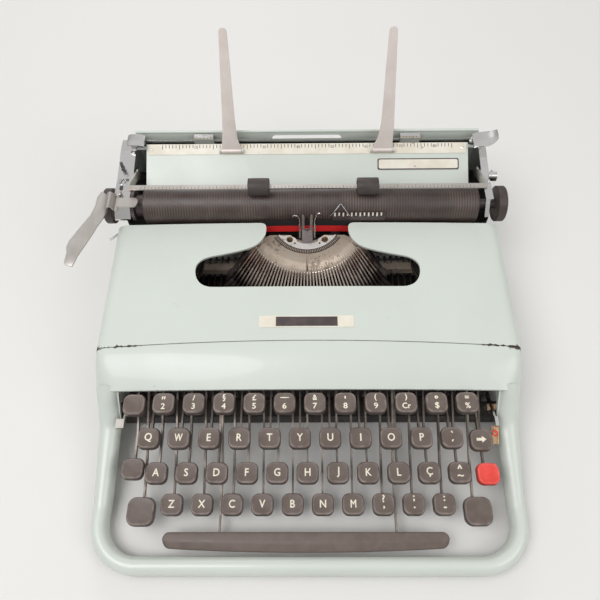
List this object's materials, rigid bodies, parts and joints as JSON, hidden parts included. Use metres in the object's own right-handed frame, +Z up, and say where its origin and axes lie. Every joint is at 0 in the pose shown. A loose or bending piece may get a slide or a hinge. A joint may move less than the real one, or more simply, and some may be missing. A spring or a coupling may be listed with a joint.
{
  "type": "portable typewriter",
  "caption": "Portable manual typewriter with an enamelled shell, sloping keyboard, lift-off ribbon cover, type basket and a carriage that slides with its platen, bail and paper arms.",
  "frame": {"origin": "on the floor under the middle of the body", "axes": "+Z up, the keyboard faces -Y, +X to the right of a typist"},
  "size_m": [0.3075, 0.3166, 0.1566],
  "materials": {
    "enamel": "satin",
    "key_plastic": "satin",
    "red_plastic": "satin",
    "key_steel": "aged",
    "machine_steel": "satin",
    "dark_steel": "satin",
    "chrome": "polished",
    "rubber": "matte",
    "dark_plastic": "satin",
    "inked_fabric": "matte"
  },
  "bodies": {
    "chassis": {"body_shell": "enamel", "chassis_frame": "dark_steel", "key_comb": "dark_steel", "carriage_rail": "machine_steel", "fulcrum_shaft": "machine_steel", "rubber_feet": "rubber", "spool_cups": "dark_steel", "card_holder": "chrome", "ribbon": "inked_fabric"},
    "cover": {"ribbon_cover": "enamel"},
    "number_row": {"number_row_caps": "key_plastic", "number_row_levers": "key_steel"},
    "upper_row": {"upper_row_caps": "key_plastic", "upper_row_levers": "key_steel"},
    "home_row": {"home_row_caps": "key_plastic", "home_row_levers": "key_steel"},
    "lower_row": {"lower_row_caps": "key_plastic", "lower_row_levers": "key_steel"},
    "h_letter": {"h_key": "key_plastic"},
    "space": {"space_bar": "key_plastic"},
    "shift": {"shift_linkage": "key_steel", "left_shift_key": "key_plastic", "right_shift_key": "key_plastic"},
    "shift_lock": {"shift_lock_key": "key_plastic"},
    "backspace": {"backspace_key": "key_plastic"},
    "tabulator": {"tab_key": "red_plastic"},
    "margin_release": {"margin_release_key": "key_plastic"},
    "basket": {"segment": "machine_steel", "typebars": "machine_steel", "type_guide": "chrome", "type_rest": "dark_steel"},
    "struck_typebar": {"h_typebar": "machine_steel"},
    "vibrator": {"ribbon_vibrator": "chrome"},
    "left_reel": {"left_spool": "dark_steel"},
    "right_reel": {"right_spool": "dark_steel"},
    "selector": {"ribbon_selector": "chrome"},
    "tab_setter": {"tab_set_lever": "chrome"},
    "drum": {"mainspring_drum": "machine_steel"},
    "carriage": {"carriage_bed": "dark_steel", "left_end_plate": "chrome", "right_end_plate": "chrome", "paper_table": "enamel", "margin_rack": "chrome", "rear_cover": "enamel", "feed_rollers": "rubber"},
    "platen_roll": {"platen": "rubber", "platen_shaft": "machine_steel", "left_knob": "dark_plastic", "right_knob": "dark_plastic"},
    "bail": {"bail_bar": "chrome", "bail_rollers": "rubber"},
    "left_arm": {"left_paper_arm": "chrome"},
    "right_arm": {"right_paper_arm": "chrome"},
    "return": {"return_lever": "chrome"},
    "line_space": {"line_space_lever": "dark_steel"},
    "left_release": {"left_release_lever": "chrome"},
    "right_release": {"right_release_lever": "chrome"},
    "paper_release": {"paper_release_lever": "chrome"},
    "left_stop": {"left_margin_stop": "chrome"},
    "right_stop": {"right_margin_stop": "chrome"}
  },
  "joints": [
    {"name": "cover_lift", "type": "slide", "parent": "chassis", "child": "cover", "axis": [0, 0, 1], "range_m": [0, 0.06]},
    {"name": "number_row_dip", "type": "hinge", "parent": "chassis", "child": "number_row", "pos_m": [0, 0.08, 0.0095], "axis": [1, 0, 0], "range_deg": [0, 3.89], "stiffness_Nm_per_rad": 10, "springref_deg": -2.86},
    {"name": "upper_row_dip", "type": "hinge", "parent": "chassis", "child": "upper_row", "pos_m": [0, 0.08, 0.0095], "axis": [1, 0, 0], "range_deg": [0, 3.4], "stiffness_Nm_per_rad": 10, "springref_deg": -2.86},
    {"name": "home_row_dip", "type": "hinge", "parent": "chassis", "child": "home_row", "pos_m": [0, 0.08, 0.0095], "axis": [1, 0, 0], "range_deg": [0, 3.02], "stiffness_Nm_per_rad": 10, "springref_deg": -2.86},
    {"name": "lower_row_dip", "type": "hinge", "parent": "chassis", "child": "lower_row", "pos_m": [0, 0.08, 0.0095], "axis": [1, 0, 0], "range_deg": [0, 2.72], "stiffness_Nm_per_rad": 10, "springref_deg": -2.86},
    {"name": "h_dip", "type": "hinge", "parent": "chassis", "child": "h_letter", "pos_m": [0, 0.08, 0.0095], "axis": [1, 0, 0], "range_deg": [0, 3.02], "stiffness_Nm_per_rad": 1.2, "springref_deg": -4.58},
    {"name": "space_dip", "type": "hinge", "parent": "chassis", "child": "space", "pos_m": [0, 0.08, 0.0095], "axis": [1, 0, 0], "range_deg": [0, 1.93], "stiffness_Nm_per_rad": 2.5, "springref_deg": -3.44},
    {"name": "shift_dip", "type": "hinge", "parent": "chassis", "child": "shift", "pos_m": [0, 0.08, 0.0095], "axis": [1, 0, 0], "range_deg": [0, 2.69], "stiffness_Nm_per_rad": 14, "springref_deg": -3.44},
    {"name": "shift_lock_dip", "type": "hinge", "parent": "chassis", "child": "shift_lock", "pos_m": [0, 0.08, 0.0095], "axis": [1, 0, 0], "range_deg": [0, 1.7], "stiffness_Nm_per_rad": 1.2, "springref_deg": -3.44},
    {"name": "backspace_dip", "type": "hinge", "parent": "chassis", "child": "backspace", "pos_m": [0, 0.08, 0.0095], "axis": [1, 0, 0], "range_deg": [0, 3.37], "stiffness_Nm_per_rad": 1.2, "springref_deg": -3.44},
    {"name": "tabulator_dip", "type": "hinge", "parent": "chassis", "child": "tabulator", "pos_m": [0, 0.08, 0.0095], "axis": [1, 0, 0], "range_deg": [0, 3.01], "stiffness_Nm_per_rad": 1.2, "springref_deg": -3.44},
    {"name": "margin_release_dip", "type": "hinge", "parent": "chassis", "child": "margin_release", "pos_m": [0, 0.08, 0.0095], "axis": [1, 0, 0], "range_deg": [0, 3.87], "stiffness_Nm_per_rad": 1.2, "springref_deg": -3.44},
    {"name": "basket_drop", "type": "slide", "parent": "chassis", "child": "basket", "axis": [0, 0, -1], "range_m": [0, 0.005]},
    {"name": "typebar_swing", "type": "hinge", "parent": "basket", "child": "struck_typebar", "pos_m": [0, 0.05981, 0.02471], "axis": [-1, 0, 0], "range_deg": [0, 118]},
    {"name": "ribbon_lift", "type": "slide", "parent": "chassis", "child": "vibrator", "axis": [0, 0, 1], "range_m": [0, 0.005], "deforming": ["ribbon"]},
    {"name": "left_reel_turn", "type": "hinge", "parent": "chassis", "child": "left_reel", "pos_m": [-0.101, 0.057, 0.043], "axis": [0, 0, 1], "continuous": true},
    {"name": "right_reel_turn", "type": "hinge", "parent": "chassis", "child": "right_reel", "pos_m": [0.101, 0.057, 0.043], "axis": [0, 0, 1], "continuous": true},
    {"name": "selector_tilt", "type": "hinge", "parent": "chassis", "child": "selector", "pos_m": [0.1192, -0.033, 0.027], "axis": [1, 0, 0], "range_deg": [0, 8]},
    {"name": "tab_setter_tilt", "type": "hinge", "parent": "chassis", "child": "tab_setter", "pos_m": [-0.1192, -0.033, 0.027], "axis": [1, 0, 0], "range_deg": [0, 8], "stiffness_Nm_per_rad": 0.1, "springref_deg": -8.59},
    {"name": "drum_turn", "type": "hinge", "parent": "chassis", "child": "drum", "pos_m": [-0.085, 0.113, 0.014], "axis": [0, 0, 1], "range_deg": [-400, 400]},
    {"name": "carriage_travel", "type": "slide", "parent": "chassis", "child": "carriage", "axis": [-1, 0, 0], "range_m": [-0.115, 0.115]},
    {"name": "platen_turn", "type": "hinge", "parent": "carriage", "child": "platen_roll", "pos_m": [0, 0.095, 0.0628], "axis": [1, 0, 0], "continuous": true},
    {"name": "bail_lift", "type": "hinge", "parent": "carriage", "child": "bail", "pos_m": [0, 0.12, 0.0688], "axis": [-1, 0, 0], "range_deg": [0, 40]},
    {"name": "left_arm_fold", "type": "hinge", "parent": "carriage", "child": "left_arm", "pos_m": [-0.056, 0.13444, 0.07725], "axis": [1, 0, 0], "range_deg": [0, 45]},
    {"name": "right_arm_fold", "type": "hinge", "parent": "carriage", "child": "right_arm", "pos_m": [0.056, 0.13444, 0.07725], "axis": [1, 0, 0], "range_deg": [0, 45]},
    {"name": "return_swing", "type": "hinge", "parent": "carriage", "child": "return", "pos_m": [-0.13525, 0.096, 0.07665], "axis": [0, 0, 1], "range_deg": [0, 28], "stiffness_Nm_per_rad": 0.6, "springref_deg": -11.46},
    {"name": "line_space_tilt", "type": "hinge", "parent": "carriage", "child": "line_space", "pos_m": [-0.13525, 0.11972, 0.07532], "axis": [1, 0, 0], "range_deg": [0, 20]},
    {"name": "left_release_tilt", "type": "hinge", "parent": "carriage", "child": "left_release", "pos_m": [-0.128, 0.1408, 0.0793], "axis": [1, 0, 0], "range_deg": [0, 12], "stiffness_Nm_per_rad": 0.05, "springref_deg": -11.46},
    {"name": "right_release_tilt", "type": "hinge", "parent": "carriage", "child": "right_release", "pos_m": [0.128, 0.1408, 0.0793], "axis": [1, 0, 0], "range_deg": [0, 12], "stiffness_Nm_per_rad": 0.05, "springref_deg": -11.46},
    {"name": "paper_release_tilt", "type": "hinge", "parent": "carriage", "child": "paper_release", "pos_m": [0.134, 0.119, 0.0608], "axis": [-1, 0, 0], "range_deg": [0, 18]},
    {"name": "left_stop_slide", "type": "slide", "parent": "carriage", "child": "left_stop", "axis": [1, 0, 0], "range_m": [-0.034, 0.012]},
    {"name": "right_stop_slide", "type": "slide", "parent": "carriage", "child": "right_stop", "axis": [1, 0, 0], "range_m": [-0.012, 0.034]}
  ],
  "couplings": [
    {"joint": "basket_drop", "follows": "shift_dip", "m_per_rad": 0.10639},
    {"joint": "typebar_swing", "follows": "h_dip", "ratio": 39.053},
    {"joint": "ribbon_lift", "follows": "h_dip", "m_per_rad": 0.09477},
    {"joint": "right_reel_turn", "follows": "left_reel_turn", "ratio": 1},
    {"joint": "drum_turn", "follows": "carriage_travel", "rad_per_m": 57.143}
  ]
}
